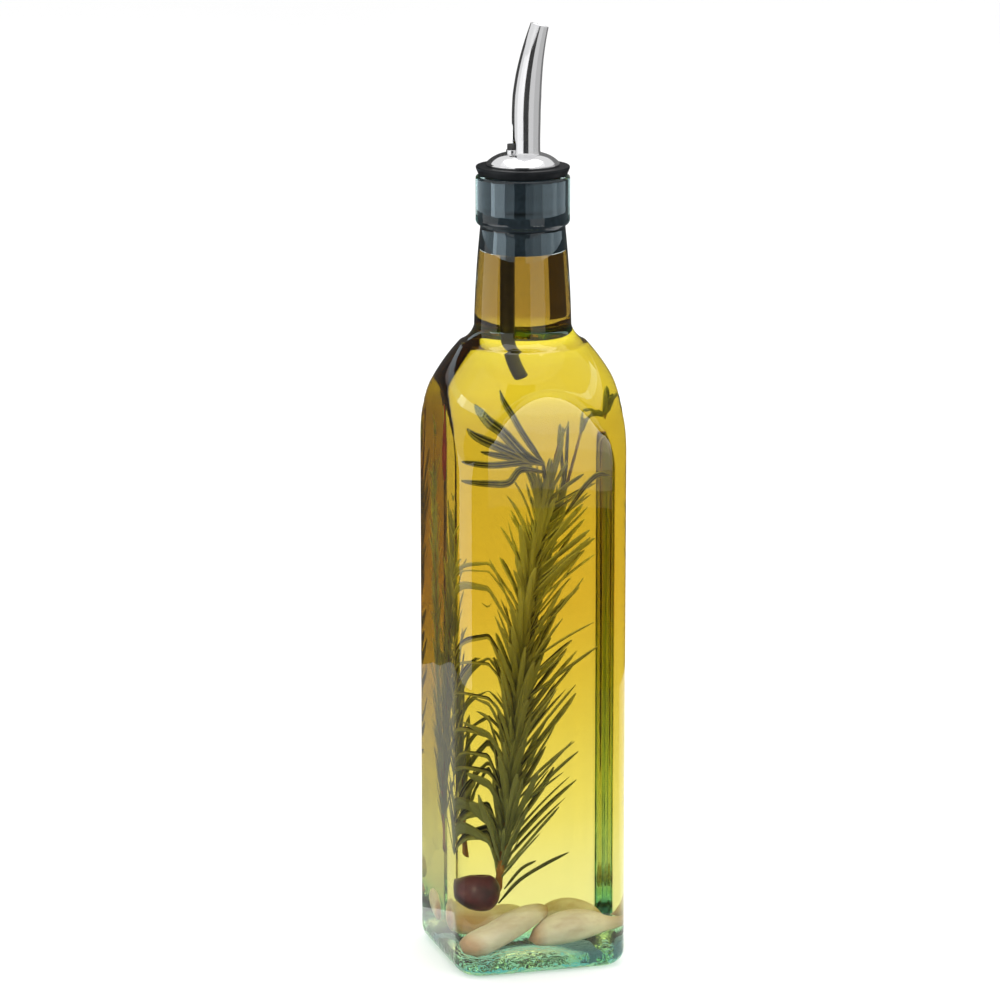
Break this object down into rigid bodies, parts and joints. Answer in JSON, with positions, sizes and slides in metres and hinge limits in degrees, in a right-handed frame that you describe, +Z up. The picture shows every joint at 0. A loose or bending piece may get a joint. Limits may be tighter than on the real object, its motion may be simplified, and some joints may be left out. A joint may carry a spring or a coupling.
{
  "type": "glass oil bottle",
  "caption": "Tall square glass bottle of infused oil with herbs and garlic inside and a pull-out rubber stopper carrying a curved stainless pour spout.",
  "frame": {"origin": "on the bottle's axis, in the plane the base stands on", "axes": "+Z up along the bottle's axis; -Y is a flat side of the bottle; the spout leans towards +X at rest"},
  "size_m": [0.0572, 0.0572, 0.3067],
  "materials": {
    "bottle_glass": "gloss",
    "olive_oil": "gloss",
    "stopper_rubber": "satin",
    "stainless": "polished",
    "tube_plastic": "satin",
    "olive_skin": "gloss",
    "chili_skin": "satin",
    "rosemary_wood": "matte",
    "rosemary_needle": "satin",
    "garlic_flesh": "satin"
  },
  "bodies": {
    "bottle": {"dried_chili": "chili_skin", "garlic_clove_1": "garlic_flesh", "garlic_clove_2": "garlic_flesh", "garlic_clove_3": "garlic_flesh", "garlic_clove_4": "garlic_flesh", "garlic_clove_5": "garlic_flesh", "glass_bottle": "bottle_glass", "oil_fill": "olive_oil", "olive": "olive_skin", "rosemary_leaves_1": "rosemary_needle", "rosemary_leaves_2": "rosemary_needle", "rosemary_leaves_3": "rosemary_needle", "rosemary_stem_1": "rosemary_wood", "rosemary_stem_2": "rosemary_wood", "rosemary_stem_3": "rosemary_wood"},
    "stopper_body": {"stopper": "stopper_rubber"},
    "pourer_head": {"dome_cap": "stainless", "pour_spout": "stainless", "spout_shank": "stainless", "breather_tube": "tube_plastic"}
  },
  "joints": [
    {"name": "stopper_lift", "type": "slide", "parent": "bottle", "child": "stopper_body", "axis": [0, 0, 1], "range_m": [0, 0.075]},
    {"name": "head_turn", "type": "hinge", "parent": "stopper_body", "child": "pourer_head", "pos_m": [0, 0, 0.25], "axis": [0, 0, 1], "continuous": true}
  ]
}
